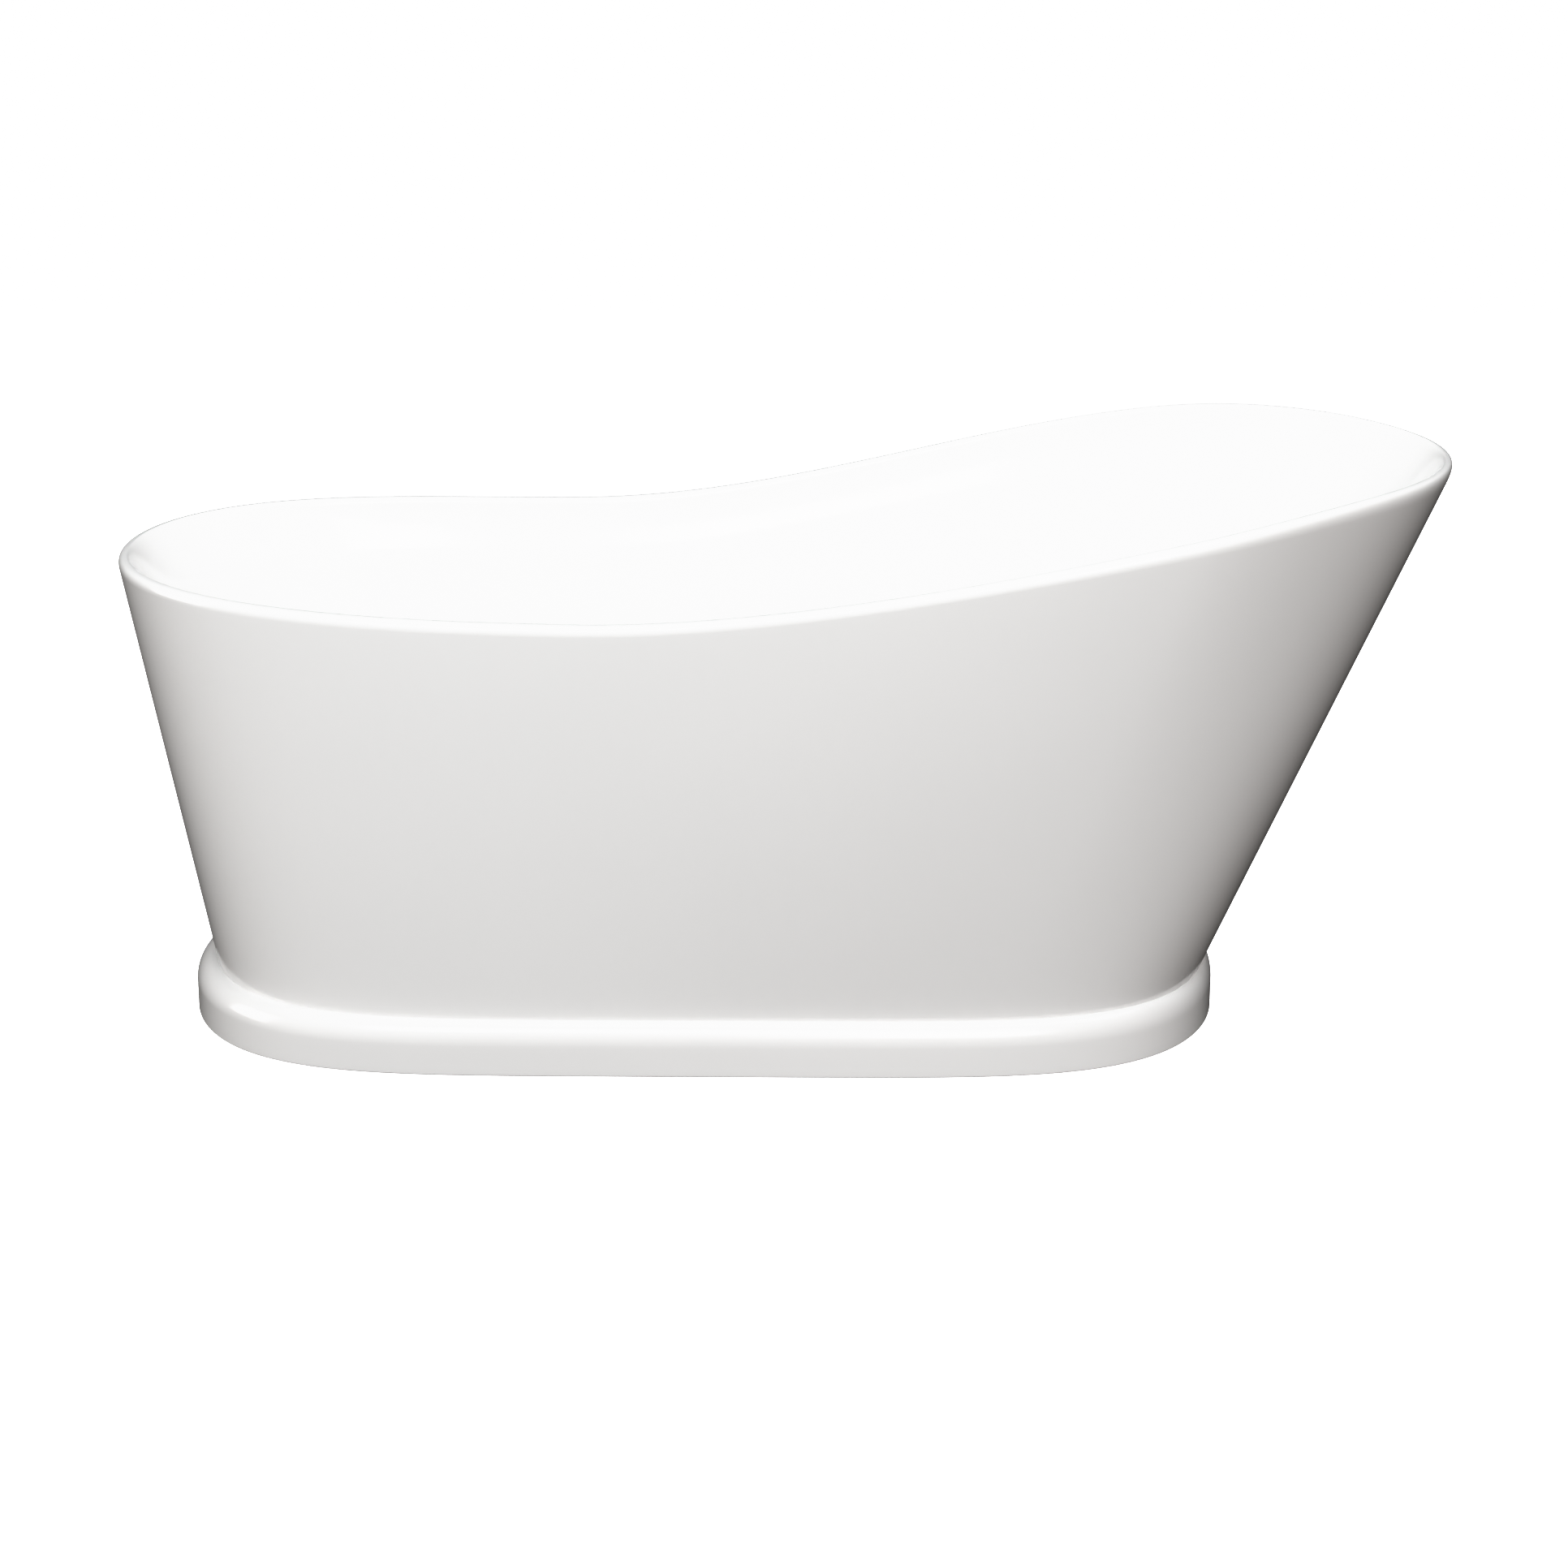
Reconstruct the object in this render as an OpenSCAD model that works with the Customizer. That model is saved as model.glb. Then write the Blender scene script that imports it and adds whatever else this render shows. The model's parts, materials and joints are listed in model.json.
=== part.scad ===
// Freestanding single-slipper bathtub with a flared skirt, a plinth, a hidden frame on
// levelling feet, a push-to-open waste and an overflow.
// Millimetres, +Z up. X runs from the drain end (-X) to the backrest (+X).
// The origin is on the floor, under the middle of the rim's length and width.

/* [Show] */
// Which sub-part to draw

/* [Rim outline] */
// Overall length over the rim
tub_length = 1700; // [1500:10:1900]
// Half width of the rim at the drain end
low_half_width = 300; // [280:1:330]
// Half width the rim swells towards at the backrest end
high_half_width = 398.5; // [380:0.5:420]
// Where the rim begins to widen
widen_from = -358; // [-450:1:-250]
// Where the rim stops widening
widen_to = 655; // [600:1:750]
// Width taken off again at the backrest end
end_taper = 38; // [0:1:50]
// Where that taper begins
taper_from = 500; // [400:1:600]
// Corner fullness of the rim at the drain end
low_fullness = 4.5; // [3:0.1:6]
// Corner fullness of the rim at the backrest end
high_fullness = 2.7; // [2:0.1:4]

/* [Rim height] */
// Height of the rim along its low stretch
low_rim = 603.5; // [560:0.5:650]
// Height of the rim at the backrest
high_rim = 744; // [700:1:800]
// Where the rim begins to climb
climb_from = -267; // [-350:1:-150]
// Where the rim stops climbing
climb_to = 772; // [700:1:850]
// Extra height of the rim at the drain end
end_rise = 12; // [0:1:20]

/* [Lip] */
// Width of the rolled lip
lip_width = 22; // [20:0.5:28]
// Depth of the lip's rounded outer edge
lip_edge = 12; // [10:0.5:14]
// Depth of the lip's rounded inner edge
lip_inner = 10; // [8:0.5:12]
// Thickness of the acrylic shells
wall = 5; // [4:0.5:6]

/* [Skirt foot] */
// Half length of the skirt where it meets the plinth
foot_half_length = 648.5; // [600:0.5:660]
// Half width of the skirt where it meets the plinth
foot_half_width = 257; // [250:1:262]
// Middle of the skirt's foot along X
foot_centre = -97; // [-105:1:-90]
// Corner fullness of the skirt's foot
foot_fullness = 5.4; // [4:0.1:6]

/* [Plinth] */
// Height of the plinth
plinth_height = 70; // [66:1:76]
// Height of the plinth's upright side, below its rounded ledge
plinth_side = 40; // [30:1:45]
// Half length of the plinth
plinth_half_length = 668.5; // [665:0.5:680]
// Half width of the plinth
plinth_half_width = 276; // [274:1:290]
// Middle of the plinth along X
plinth_centre = -104.5; // [-108:0.5:-97]
// Width of the flange under the skirt's edge
plinth_flange = 10; // [8:0.5:12]

/* [Basin] */
// Depth of the soft shoulder below the rim
shoulder_drop = 70; // [60:1:80]
// How far the shoulder sits in from the rim along the sides
shoulder_in = 36; // [32:1:42]
// Extra inset of the shoulder at the drain end
shoulder_in_low = 28; // [20:1:32]
// Extra inset of the shoulder at the backrest end
shoulder_in_high = 20; // [10:1:30]
// Height of the basin floor at its edge
floor_height = 150; // [148:1:156]
// Fall of the basin floor to the drain
floor_fall = 6; // [4:1:8]
// Half length of the flat floor
floor_half_length = 455; // [430:1:470]
// Half width of the flat floor
floor_half_width = 150; // [140:1:160]
// Middle of the flat floor along X
floor_centre = -95; // [-100:1:-90]
// Corner fullness of the flat floor
floor_fullness = 3.5; // [2.5:0.1:5]

/* [Waste] */
// Drain centre along X
drain_x = -470; // [-480:1:-460]
// Radius of the drain hole in the shell
drain_hole_r = 25; // [24.5:0.5:26]
// Radius of the flat seat around the drain
drain_seat_r = 40; // [38:0.5:44]
// Outer radius of the waste pipes
pipe_r = 19; // [18:0.5:20]
// Wall of the waste pipes
pipe_wall = 1.5; // [1.2:0.1:2]
// Tee centre along X
tee_x = -705; // [-708:1:-702]
// Height of the horizontal waste run
waste_z = 95; // [94:1:98]
// Height of the tailpiece's open end above the floor
tail_end = 8; // [6:1:15]

/* [Overflow] */
// Place of the overflow along the wall's curve, 0 at the shoulder and 1 at the floor
overflow_u = 0.15; // [0.12:0.01:0.18]
// Radius of the overflow hole
overflow_hole_r = 18.5; // [18:0.1:19.5]
// Radius of the overflow cover
overflow_cover_r = 33; // [30:1:36]
// Outer radius of the overflow tube
overflow_tube_r = 11; // [10:0.5:11]

/* [Frame] */
// Side of the square steel tube
tube = 25; // [22:1:25]
// Wall of the square steel tube
tube_wall = 2; // [1.5:0.1:3]
// Thickness of the support board
board_thickness = 18; // [15:1:18]
// Half width of the support board
board_half_width = 140; // [130:1:145]
// Distance of each rail's middle from the centre line
rail_y = 95; // [85:1:105]
// Half length of the cross bearers
bearer_half = 205; // [200:1:210]
// Distance of each levelling foot from the centre line
foot_y = 150; // [140:1:160]
// Radius of the levelling feet's pads
pad_r = 24; // [20:1:28]
// Radius of the levelling studs
stud_r = 6; // [5:0.5:6]

/* [Hidden] */
facets = 80;
slim = 0.1;
clear = 0.3;
bond = 0.5;
thread_gap = 0.05;
$fn = 64;

half_length = tub_length / 2;
floor_seat = floor_height - floor_fall;
shell_under = floor_seat - wall;
board_top = shell_under - bond;
rail_top = board_top - board_thickness;
bearer_top = rail_top - tube;
bearer_bottom = bearer_top - tube;
board_low_x = drain_x + 50;
board_high_x = 330;
rail_low_x = -425;
rail_high_x = 370;
bearer_x = [-380, -20, 330];
foot_x = [bearer_x[0], bearer_x[0], bearer_x[2], bearer_x[2]];
foot_side = [-1, 1, -1, 1];
screw_x = [-300, -150, 110, 250];
block_length = 60;
block_depth = 25;
block_low = 12;
block_high = 58;
block_chamfer = 8;
bracket = 3;
bracket_width = 40;
bracket_low = 20;
bracket_reach = 22;
screw_r = 2;
screw_head_r = 4;
pilot_r = 2.1;
through_r = 2.3;
bearer_screw_in = 10;
fixing_z = [30, 50];
nut_height = 10;
nut_r = 11;
pad_sole = 6;
pipe_bore = pipe_r + slim;
socket_r = pipe_r + 3;
lip_rim = 9;

// ---- Curves ----

function ease(u) = let(v = min(max(u, 0), 1)) v * v * (3 - 2 * v);
function mix(a, b, u) = a + (b - a) * u;
function bulge(c, fullness) = sqrt(max(0, 1 - pow(abs(c), fullness)));
function ring(t, a, b, centre, fullness) =
  [centre + a * cos(t), b * sign(sin(t)) * bulge(cos(t), fullness)];
function turns() = [for (i = [0:facets - 1]) 360 * i / facets];
function bezier(p1, p2, u) = 3 * (1 - u) * (1 - u) * u * p1 + 3 * (1 - u) * u * u * p2 + u * u * u;
function bezier_slope(p1, p2, u) =
  3 * (1 - u) * (1 - u) * p1 + 6 * (1 - u) * u * (p2 - p1) + 3 * u * u * (1 - p2);

// Half width and height of the rim at a place along X
function rim_half_width(x) =
  mix(low_half_width, high_half_width, ease((x - widen_from) / (widen_to - widen_from)))
  - end_taper * ease((x - taper_from) / (half_length - taper_from));
function rim_height(x) =
  mix(low_rim, high_rim, ease((x - climb_from) / (climb_to - climb_from)))
  + end_rise * ease((climb_from - x) / (half_length + climb_from));

// A point of the rim at turn t, moved in from the outline and down from the crest
function rim_point(t, inset, drop) =
  let(x = half_length * cos(t), fullness = cos(t) < 0 ? low_fullness : high_fullness)
  concat(ring(t, half_length - inset, rim_half_width(x) - inset, 0, fullness), [rim_height(x) - drop]);
function foot_point(t, inset, z) =
  concat(ring(t, foot_half_length - inset, foot_half_width - inset, foot_centre, foot_fullness), [z]);
// The skirt's side, u from 0 at the plinth to 1 just under the lip
function skirt_point(t, u, inset) =
  mix(foot_point(t, inset, plinth_height), rim_point(t, inset, lip_edge + clear), u);
function plinth_point(t, inset, z) =
  concat(ring(t, plinth_half_length - inset, plinth_half_width - inset, plinth_centre, foot_fullness), [z]);
function floor_point(t, drop) =
  concat(ring(t, floor_half_length, floor_half_width, floor_centre, floor_fullness), [floor_height - drop]);
function drain_point(t, r, drop) = [drain_x + r * cos(t), r * sin(t), floor_seat - drop];

// The basin wall: its lean grows from the drain end to the backrest
function shoulder_inset(t) =
  shoulder_in + (cos(t) < 0 ? shoulder_in_low : shoulder_in_high) * pow(abs(cos(t)), 6);
function shoulder_point(t) = rim_point(t, shoulder_inset(t), shoulder_drop);
// The sloping face between the lip and the shoulder, u from 0 to 1
function slope_point(t, u, back) =
  rim_point(t, mix(lip_width, shoulder_inset(t), pow(u, 1.6)) - back, mix(lip_inner, shoulder_drop, u));
function lean(t) = ease((cos(t) + 0.2) / 1.2);
function run_1(t) = mix(0.12, 0.32, lean(t));
function run_2(t) = mix(0.32, 0.65, lean(t));
function wall_point(t, u) =
  let(a = shoulder_point(t), b = floor_point(t, 0), g = bezier(run_1(t), run_2(t), u), h = bezier(0.5, 1, u))
  [mix(a.x, b.x, g), mix(a.y, b.y, g), mix(a.z, b.z, h)];
function wall_back(t, u) =
  let(
    p = wall_point(t, u),
    a = shoulder_point(t),
    b = floor_point(t, 0),
    run = norm([a.x - b.x, a.y - b.y]),
    out = [a.x - b.x, a.y - b.y] / run,
    inward = run * bezier_slope(run_1(t), run_2(t), u),
    down = (a.z - b.z) * bezier_slope(0.5, 1, u),
    length = norm([inward, down])
  )
  [p.x + wall * out.x * down / length, p.y + wall * out.y * down / length, p.z - wall * inward / length];

// Closed band of rings, each ring a list of points, all with the same count
module band(rows) {
  n = len(rows[0]);
  k = len(rows);
  points = [for (row = rows) for (p = row) p];
  faces = [
    for (j = [0:k - 1])
      for (i = [0:n - 1])
        let(a = j * n + i, b = j * n + (i + 1) % n, up = (j + 1) % k * n, c = up + (i + 1) % n, d = up + i)
        each [[a, c, b], [a, d, c]]
  ];
  polyhedron(points = points, faces = faces, convexity = 10);
}

// ---- Shells ----

quarter = [0, 30, 60, 90];

module tub_shell() {
  outer_edge = [for (q = quarter)
    [for (t = turns()) rim_point(t, lip_rim * (1 - cos(q)), lip_edge * (1 - sin(q)))]];
  inner_edge = [for (q = quarter)
    [for (t = turns()) rim_point(t, lip_width - lip_rim * (1 - sin(q)), lip_inner * (1 - cos(q)))]];
  slope = [for (q = [1:3]) [for (t = turns()) slope_point(t, q / 3, 0)]];
  side = [for (q = [1:12]) [for (t = turns()) wall_point(t, q / 12)]];
  fall = [for (q = [0.4, 0.75, 1]) [for (t = turns())
    mix(floor_point(t, 0), drain_point(t, drain_seat_r, 0), q)]];
  hole = [for (d = [0, wall]) [for (t = turns()) drain_point(t, drain_hole_r, d)]];
  fall_back = [for (q = [1, 0.75, 0.4]) [for (t = turns())
    mix(floor_point(t, wall), drain_point(t, drain_seat_r, wall), q)]];
  side_back = [for (q = [12:-1:0]) [for (t = turns()) wall_back(t, q / 12)]];
  slope_back = [for (q = [2:-1:0]) [for (t = turns()) slope_point(t, q / 3, wall)]];
  under = [for (p = [[lip_width - 2 * wall + 1, wall + 1.5], [wall + 3, wall + 1.5], [wall, lip_edge]])
    [for (t = turns()) rim_point(t, p[0], p[1])]];
  color("white") difference() {
    band(concat(outer_edge, inner_edge, slope, side, fall, hole, fall_back, side_back, slope_back, under));
    at_overflow() rotate([0, 90, 0]) cylinder(r = overflow_hole_r, h = 6 * wall, center = true);
  }
}

module outer_skirt() {
  steps = 6;
  outside = [for (q = [0:steps]) [for (t = turns()) skirt_point(t, q / steps, 0)]];
  inside = [for (q = [steps:-1:0]) [for (t = turns()) skirt_point(t, q / steps, wall)]];
  color("white") band(concat(outside, inside));
}

module plinth() {
  arc = [0, 25, 50, 70, 90];
  outside = [for (t = turns()) plinth_point(t, 0, 0)];
  ledge = [for (q = arc) [for (t = turns())
    ledge_point(plinth_point(t, 0, 0), foot_point(t, 0, 0), q, plinth_height)]];
  flange = [for (z = [plinth_height, plinth_height - wall]) [for (t = turns())
    foot_point(t, plinth_flange, z)]];
  ledge_back = [for (q = [90, 50, 0]) [for (t = turns())
    ledge_point(plinth_point(t, wall, 0), foot_point(t, wall, 0), q, plinth_height - wall)]];
  inside = [for (t = turns()) plinth_point(t, wall, 0)];
  color("white") band(concat([outside], ledge, flange, ledge_back, [inside]));
}

// A point on the quarter curve from the plinth's side to the skirt's foot
function ledge_point(low, high, q, top) =
  let(g = 1 - cos(q)) [mix(low.x, high.x, g), mix(low.y, high.y, g), mix(plinth_side, top, sin(q))];

// ---- Support board and frame ----

module rounded_plate(x0, x1, y1, r) {
  translate([x0, -y1 + r]) square([x1 - x0, 2 * (y1 - r)]);
  translate([x0 + r, -y1]) square([x1 - x0 - 2 * r, 2 * y1]);
  for (x = [x0 + r, x1 - r], y = [-1, 1] * (y1 - r)) translate([x, y]) circle(r);
}

module base_board() {
  color("burlywood") difference() {
    translate([0, 0, rail_top]) linear_extrude(board_thickness)
      rounded_plate(board_low_x, board_high_x, board_half_width, 50);
    at_board_screws() cylinder(r = pilot_r, h = 14.5);
  }
}

module square_tube(length) {
  difference() {
    translate([-tube / 2, 0, 0]) cube([tube, length, tube]);
    translate([tube_wall - tube / 2, -1, tube_wall])
      cube([tube - 2 * tube_wall, length + 2, tube - 2 * tube_wall]);
  }
}

module at_board_screws() {
  for (x = screw_x, side = [-1, 1]) translate([x, side * rail_y, rail_top]) children();
}

module frame_rail(side) {
  color("silver") difference() {
    translate([rail_low_x, side * rail_y, bearer_top])
      rotate([0, 0, -90])
        square_tube(rail_high_x - rail_low_x);
    at_board_screws() translate([0, 0, -tube - 1]) cylinder(r = through_r, h = tube + 2);
  }
}

module frame_rail_front() {
  frame_rail(-1);
}

module frame_rail_back() {
  frame_rail(1);
}

module bearer(i, has_feet) {
  color("silver") difference() {
    translate([bearer_x[i], -bearer_half, bearer_bottom]) square_tube(2 * bearer_half);
    for (side = [-1, 1]) {
      if (has_feet)
        translate([bearer_x[i], side * foot_y, bearer_bottom - 1]) cylinder(r = stud_r + 1, h = tube + 2);
      translate([bearer_x[i], side * (bearer_half - bearer_screw_in), bearer_bottom - 1])
        cylinder(r = pilot_r, h = tube_wall + 2);
    }
  }
}

module bearer_drain() {
  bearer(0, true);
}

module bearer_middle() {
  bearer(1, false);
}

module bearer_head() {
  bearer(2, true);
}

module board_screws() {
  color("gainsboro") at_board_screws() {
    translate([0, 0, -tube - bracket]) cylinder(r = screw_head_r, h = bracket);
    translate([0, 0, -tube - 1]) cylinder(r = screw_r, h = tube + 14);
  }
}

// ---- Levelling feet ----

module at_foot(i) {
  translate([foot_x[i], foot_side[i] * foot_y, 0]) children();
}

module foot_pad(i) {
  color("dimgray") at_foot(i) rotate_extrude() difference() {
    union() {
      square([pad_r, 5]);
      translate([0, 5])
        polygon([[0, 0], [pad_r, 0], [pad_r - 3, 3], [stud_r + 5, 5], [stud_r + 4, 11], [0, 11]]);
    }
    translate([0, pad_sole]) square([stud_r + thread_gap, 11]);
  }
}

module foot_stud(i) {
  flats_low = 20;
  color("silver") at_foot(i) {
    translate([0, 0, pad_sole]) cylinder(r = stud_r, h = bearer_top + nut_height);
    translate([0, 0, flats_low]) cylinder(r = nut_r, h = nut_height, $fn = 6);
  }
}

module foot_pad_1() {
  foot_pad(0);
}

module foot_pad_2() {
  foot_pad(1);
}

module foot_pad_3() {
  foot_pad(2);
}

module foot_pad_4() {
  foot_pad(3);
}

module foot_stud_1() {
  foot_stud(0);
}

module foot_stud_2() {
  foot_stud(1);
}

module foot_stud_3() {
  foot_stud(2);
}

module foot_stud_4() {
  foot_stud(3);
}

module foot_nuts() {
  color("gainsboro") for (i = [0:3], z = [bearer_bottom - nut_height, bearer_top])
    at_foot(i) translate([0, 0, z]) difference() {
      cylinder(r = nut_r, h = nut_height, $fn = 6);
      translate([0, 0, -1]) cylinder(r = stud_r + thread_gap, h = nut_height + 2);
    }
}

// ---- Plinth blocks and brackets ----

function plinth_inside_y(x) =
  (plinth_half_width - wall) * bulge((x - plinth_centre) / (plinth_half_length - wall), foot_fullness);
function block_outer_y(x) =
  min(plinth_inside_y(x - block_length / 2), plinth_inside_y(x + block_length / 2)) - bond;
function block_inner_y(x) = block_outer_y(x) - block_depth;

// One fixing at each end of each bearer, drawn for the +Y side
module at_fixings() {
  for (x = bearer_x, side = [0, 1]) mirror([0, side, 0]) translate([x, block_inner_y(x), 0]) children();
}

module bracket_holes(r) {
  for (z = fixing_z) translate([0, -bracket - 1, z]) rotate([-90, 0, 0]) cylinder(r = r, h = bracket + 17);
}

module plinth_blocks() {
  color("burlywood") at_fixings() difference() {
    translate([-block_length / 2, 0, 0]) rotate([90, 0, 90]) linear_extrude(block_length)
      polygon([[0, block_low], [block_depth, block_low], [block_depth, plinth_side - 2],
        [block_depth - block_chamfer, block_high], [0, block_high]]);
    bracket_holes(pilot_r);
  }
}

module skirt_brackets() {
  color("gainsboro") for (x = bearer_x, side = [0, 1]) mirror([0, side, 0]) difference() {
    union() {
      translate([x - bracket_width / 2, block_inner_y(x) - bracket, bracket_low])
        cube([bracket_width, bracket, bearer_bottom - bracket_low]);
      translate([x - bracket_width / 2, bearer_half - bracket_reach, bearer_bottom - bracket])
        cube([bracket_width, block_inner_y(x) - bearer_half + bracket_reach, bracket]);
    }
    translate([x, block_inner_y(x), 0]) bracket_holes(through_r);
    translate([x, bearer_half - bearer_screw_in, bearer_bottom - bracket - 1])
      cylinder(r = through_r, h = bracket + 2);
  }
}

module screw(length) {
  cylinder(r = screw_r, h = length);
  translate([0, 0, -2.5]) cylinder(r = screw_head_r, h = 2.5);
}

module bracket_screws() {
  color("gainsboro") {
    at_fixings() for (z = fixing_z) translate([0, -bracket, z]) rotate([-90, 0, 0]) screw(18);
    for (x = bearer_x, side = [-1, 1])
      translate([x, side * (bearer_half - bearer_screw_in), bearer_bottom - bracket]) screw(12);
  }
}

// ---- Waste, measured down from the drain seat ----

flange_r = 36;
throat_r = 20;
throat_outer_r = 23.5;
throat_depth = 30;
hub_r = 8;
cartridge_depth = 26;
stem_r = 4;
cap_low = 5;

module at_drain() {
  translate([drain_x, 0, floor_seat]) children();
}

module drain_flange() {
  spoke = 3;
  color("lightgray") at_drain() {
    rotate_extrude() {
      polygon([
        [throat_r, 0], [flange_r, 0], [flange_r, 1],
        [flange_r - 1.5, 2.5], [throat_r + 3, 2.5], [throat_r, 1]
      ]);
      translate([throat_r, -throat_depth]) square([throat_outer_r - throat_r, throat_depth + 1]);
      translate([hub_r, -18]) square([spoke, 12]);
    }
    for (a = [0, 90, 180, 270]) rotate([0, 0, a])
      translate([hub_r + 1, -spoke / 2, -16]) cube([throat_r - hub_r, spoke, 8]);
  }
}

module plug_cartridge() {
  color("gold") at_drain() rotate_extrude() {
    translate([stem_r + thread_gap, -cartridge_depth])
      square([hub_r - slim - stem_r - thread_gap, cartridge_depth]);
    translate([0, -cartridge_depth - 2]) square([hub_r - slim, 2]);
  }
}

module plug_stem() {
  color("gold") at_drain() translate([0, 0, 2 - cartridge_depth])
    cylinder(r = stem_r, h = cartridge_depth - 2 + cap_low);
}

module plug_seal() {
  color("dimgray") at_drain() translate([0, 0, 2.5 + clear]) difference() {
    cylinder(r = 26, h = cap_low - 2.5 - clear);
    translate([0, 0, -1]) cylinder(r = 12, h = cap_low);
  }
}

module plug_cap() {
  color("lightgray") at_drain() rotate_extrude()
    polygon([[0, cap_low], [30, cap_low], [31, cap_low + 1.2], [30, cap_low + 2.4], [24, cap_low + 3.6],
      [14, cap_low + 4.4], [0, cap_low + 4.8]]);
}

module drain_gasket() {
  color("dimgray") at_drain() rotate_extrude()
    translate([throat_outer_r + slim, -wall - 3]) square([35 - throat_outer_r - slim, 3]);
}

// A round pipe along +Z, open at both ends
module pipe(outer, inner, length) {
  difference() {
    cylinder(r = outer, h = length);
    translate([0, 0, -1]) cylinder(r = inner, h = length + 2);
  }
}

shoe_end_x = drain_x - 55;
shoe_low = waste_z - socket_r;

module waste_shoe() {
  shoe_top = shell_under - 3;
  shoe_floor = 4;
  body_r = 30;
  color("white") difference() {
    union() {
      translate([drain_x, 0, shoe_top - 4]) cylinder(r = 35, h = 4);
      translate([drain_x, 0, shoe_low]) cylinder(r = body_r, h = shoe_top - shoe_low);
      translate([drain_x, 0, waste_z]) rotate([0, -90, 0]) cylinder(r = socket_r, h = drain_x - shoe_end_x);
    }
    translate([drain_x, 0, shoe_low + shoe_floor]) cylinder(r = throat_outer_r + slim, h = shoe_top);
    translate([drain_x, 0, waste_z]) rotate([0, -90, 0]) cylinder(r = pipe_bore, h = 60);
  }
}

tee_low = 60;
tee_top = 116;
tee_arm = 45;
tee_riser = 38;
nut_length = 16;
nut_lip = 4;
spigot_r = pipe_r - 0.5;
neck_gap = 1.5;

module waste_tube() {
  color("white") translate([shoe_end_x + 20, 0, waste_z]) rotate([0, -90, 0])
    pipe(pipe_r, pipe_r - pipe_wall, shoe_end_x - tee_x - 10);
}

// Slip joint nut: a collar around a socket's end with a lip over the pipe, mouth along +Z
module slip_nut(bore) {
  difference() {
    cylinder(r = socket_r + 5, h = nut_length, $fn = 8);
    translate([0, 0, -1]) cylinder(r = socket_r + slim, h = nut_length - nut_lip + 1);
    cylinder(r = bore, h = nut_length + nut_lip);
  }
}

module at_tee_top() {
  translate([tee_x, 0, tee_top - 10]) rotate([0, -overflow_lean, 0]) children();
}

module waste_tee() {
  color("white") difference() {
    union() {
      translate([tee_x, 0, tee_low]) cylinder(r = socket_r, h = tee_top - tee_low);
      translate([tee_x, 0, waste_z]) rotate([0, 90, 0]) cylinder(r = socket_r, h = tee_arm);
      at_tee_top() cylinder(r = socket_r, h = tee_riser);
    }
    translate([tee_x, 0, tee_low - 1]) cylinder(r = spigot_r + slim, h = tee_top - tee_low - 6);
    translate([tee_x, 0, waste_z]) rotate([0, 90, 0]) cylinder(r = pipe_bore, h = 60);
    at_tee_top() translate([0, 0, -6]) cylinder(r = overflow_tube_r + slim, h = 60);
  }
}

// The tailpiece narrows to a spigot just below its nut
module tailpiece() {
  neck = tee_low - nut_lip - neck_gap;
  color("white") translate([tee_x, 0, 0]) difference() {
    union() {
      translate([0, 0, tail_end]) cylinder(r = pipe_r, h = neck - tail_end);
      translate([0, 0, neck]) cylinder(r = spigot_r, h = tee_low + 6 - neck);
    }
    cylinder(r = pipe_r - pipe_wall, h = tee_top);
  }
}

module slip_nuts() {
  color("whitesmoke") {
    translate([shoe_end_x + nut_length - nut_lip, 0, waste_z]) rotate([0, -90, 0]) slip_nut(pipe_bore);
    translate([tee_x + tee_arm + nut_lip - nut_length, 0, waste_z]) rotate([0, 90, 0]) slip_nut(pipe_bore);
    translate([tee_x, 0, tee_low + nut_length - nut_lip]) rotate([180, 0, 0]) slip_nut(spigot_r + slim);
    at_tee_top() translate([0, 0, tee_riser + nut_lip - nut_length]) slip_nut(overflow_tube_r + slim);
  }
}

// ---- Overflow, on the drain end wall ----

overflow_at = wall_point(180, overflow_u);
overflow_run = wall_point(180, 1).x - wall_point(180, 0).x;
overflow_drop = wall_point(180, 0).z - wall_point(180, 1).z;
overflow_tilt = atan2(
  overflow_run * bezier_slope(run_1(180), run_2(180), overflow_u),
  overflow_drop * bezier_slope(0.5, 1, overflow_u)
);
seat_out = 2;
elbow_low = wall + 3;
elbow_depth = 28;
elbow_wall = 2.5;
elbow_axis = elbow_low + elbow_depth / 2 + 2;
elbow_mid = [
  overflow_at.x - elbow_axis * cos(overflow_tilt),
  0,
  overflow_at.z - elbow_axis * sin(overflow_tilt)
];
overflow_span = elbow_mid - [tee_x, 0, tee_top - 10];
overflow_lean = atan2(-overflow_span.x, overflow_span.z);

// Local frame on the wall: +X points into the basin, +Z up along the wall
module at_overflow() {
  translate(overflow_at) rotate([0, -overflow_tilt, 0]) children();
}

module at_elbow() {
  translate(elbow_mid) rotate([0, 180 - overflow_lean, 0]) children();
}

module overflow_elbow() {
  outlet = 50;
  color("white") difference() {
    union() {
      at_overflow() translate([-elbow_low, 0, 0]) rotate([0, -90, 0]) cylinder(r = 27, h = elbow_depth);
      at_elbow() cylinder(r = overflow_tube_r + elbow_wall, h = outlet);
    }
    at_overflow() translate([-elbow_low + 1, 0, 0]) rotate([0, -90, 0])
      cylinder(r = 20, h = elbow_depth - elbow_wall);
    at_elbow() translate([0, 0, 15]) cylinder(r = overflow_tube_r + slim, h = outlet);
  }
}

module overflow_tube() {
  start = 32;
  end_gap = 12;
  color("white") at_elbow() translate([0, 0, start])
    pipe(overflow_tube_r, overflow_tube_r - pipe_wall, norm(overflow_span) - start - end_gap);
}

module overflow_gasket() {
  color("dimgray") at_overflow() translate([-wall - 0.1, 0, 0]) rotate([0, -90, 0]) pipe(26, 20, 2.8);
}

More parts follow.
